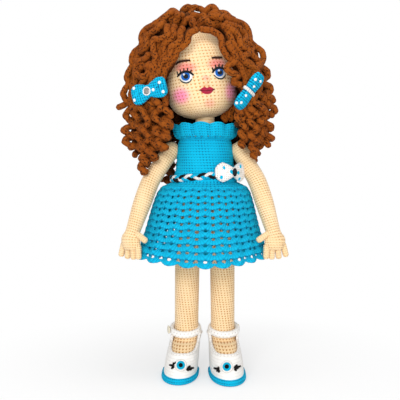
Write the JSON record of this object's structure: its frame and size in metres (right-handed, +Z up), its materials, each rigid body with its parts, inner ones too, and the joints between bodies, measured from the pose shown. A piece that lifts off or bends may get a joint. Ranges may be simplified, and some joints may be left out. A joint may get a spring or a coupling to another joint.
{
  "type": "amigurumi doll",
  "caption": "Crocheted doll with corkscrew hair, a lace-skirted dress and strap shoes, whose head turns and whose arms and legs swing.",
  "frame": {"origin": "on the floor, under the middle of the whole doll", "axes": "+Z up, the doll faces -Y, its left side is at +X"},
  "size_m": [0.1772, 0.1138, 0.3999],
  "materials": {
    "skin_yarn": "matte cotton yarn",
    "blue_yarn": "matte cotton yarn",
    "deep_blue_yarn": "matte cotton yarn",
    "white_yarn": "matte cotton yarn",
    "brown_yarn": "matte cotton yarn",
    "belt_yarn": "black and white twisted yarn",
    "inner_cord": "matte cord",
    "dowel_wood": "satin",
    "black_bead": "gloss",
    "blue_gem": "gloss",
    "pearl_bead": "gloss",
    "cream_button": "satin"
  },
  "bodies": {
    "torso": {"torso": "skin_yarn", "neck_dowel": "dowel_wood", "shoulder_cord": "inner_cord", "hip_cord": "inner_cord", "dress_bodice": "blue_yarn", "neck_ruffle": "blue_yarn", "dress_skirt": "blue_yarn", "belt_cord": "belt_yarn", "belt_bow": "white_yarn", "belt_bow_bead": "black_bead"},
    "head": {"head": "skin_yarn", "hair_cap": "brown_yarn", "hair_under_left": "brown_yarn", "hair_under_right": "brown_yarn", "hair_under_back": "brown_yarn", "curl_left_1": "brown_yarn", "curl_left_2": "brown_yarn", "curl_left_3": "brown_yarn", "curl_left_4": "brown_yarn", "curl_left_5": "brown_yarn", "curl_right_1": "brown_yarn", "curl_right_2": "brown_yarn", "curl_right_3": "brown_yarn", "curl_right_4": "brown_yarn", "curl_right_5": "brown_yarn", "curl_back_1": "brown_yarn", "curl_back_2": "brown_yarn", "curl_top_1": "brown_yarn", "curl_top_2": "brown_yarn", "hair_bow_right": "blue_yarn", "hair_bow_right_gem": "blue_gem", "hair_bow_right_pearl": "pearl_bead", "hair_bow_left": "blue_yarn", "hair_bow_left_band": "white_yarn"},
    "arm_left": {"arm_left": "skin_yarn", "thumb_left": "skin_yarn", "finger_index_left": "skin_yarn", "finger_middle_left": "skin_yarn", "finger_ring_left": "skin_yarn", "finger_little_left": "skin_yarn"},
    "arm_right": {"arm_right": "skin_yarn", "thumb_right": "skin_yarn", "finger_index_right": "skin_yarn", "finger_middle_right": "skin_yarn", "finger_ring_right": "skin_yarn", "finger_little_right": "skin_yarn"},
    "leg_left": {"leg_left": "skin_yarn", "shoe_sole_left": "blue_yarn", "shoe_upper_left": "white_yarn", "ankle_strap_left": "white_yarn", "strap_button_left": "cream_button", "shoe_eye_ring_left": "deep_blue_yarn", "shoe_eye_pupil_left": "black_bead"},
    "leg_right": {"leg_right": "skin_yarn", "shoe_sole_right": "blue_yarn", "shoe_upper_right": "white_yarn", "ankle_strap_right": "white_yarn", "strap_button_right": "cream_button", "shoe_eye_ring_right": "deep_blue_yarn", "shoe_eye_pupil_right": "black_bead"}
  },
  "joints": [
    {"name": "neck_turn", "type": "hinge", "parent": "torso", "child": "head", "pos_m": [0.00188, -0.00285, 0.27], "axis": [0, 0, 1], "range_deg": [-25, 25], "deforming": ["curl_left_1", "curl_left_2", "curl_left_3", "curl_left_4", "curl_left_5", "curl_right_1", "curl_right_2", "curl_right_3", "curl_right_4", "curl_right_5", "curl_back_1", "curl_back_2"]},
    {"name": "shoulder_left", "type": "hinge", "parent": "torso", "child": "arm_left", "pos_m": [0.03848, -0.00285, 0.2418], "axis": [-1, 0, 0], "range_deg": [-2, 75], "deforming": ["curl_left_1", "curl_left_2", "curl_left_3", "curl_left_4", "curl_left_5"]},
    {"name": "shoulder_right", "type": "hinge", "parent": "torso", "child": "arm_right", "pos_m": [-0.03472, -0.00285, 0.2418], "axis": [-1, 0, 0], "range_deg": [-2, 75], "deforming": ["curl_right_1", "curl_right_2", "curl_right_3", "curl_right_4", "curl_right_5"]},
    {"name": "hip_left", "type": "hinge", "parent": "torso", "child": "leg_left", "pos_m": [0.02028, -0.00285, 0.178], "axis": [-1, 0, 0], "range_deg": [-25, 25]},
    {"name": "hip_right", "type": "hinge", "parent": "torso", "child": "leg_right", "pos_m": [-0.01652, -0.00285, 0.178], "axis": [-1, 0, 0], "range_deg": [-25, 25]}
  ]
}
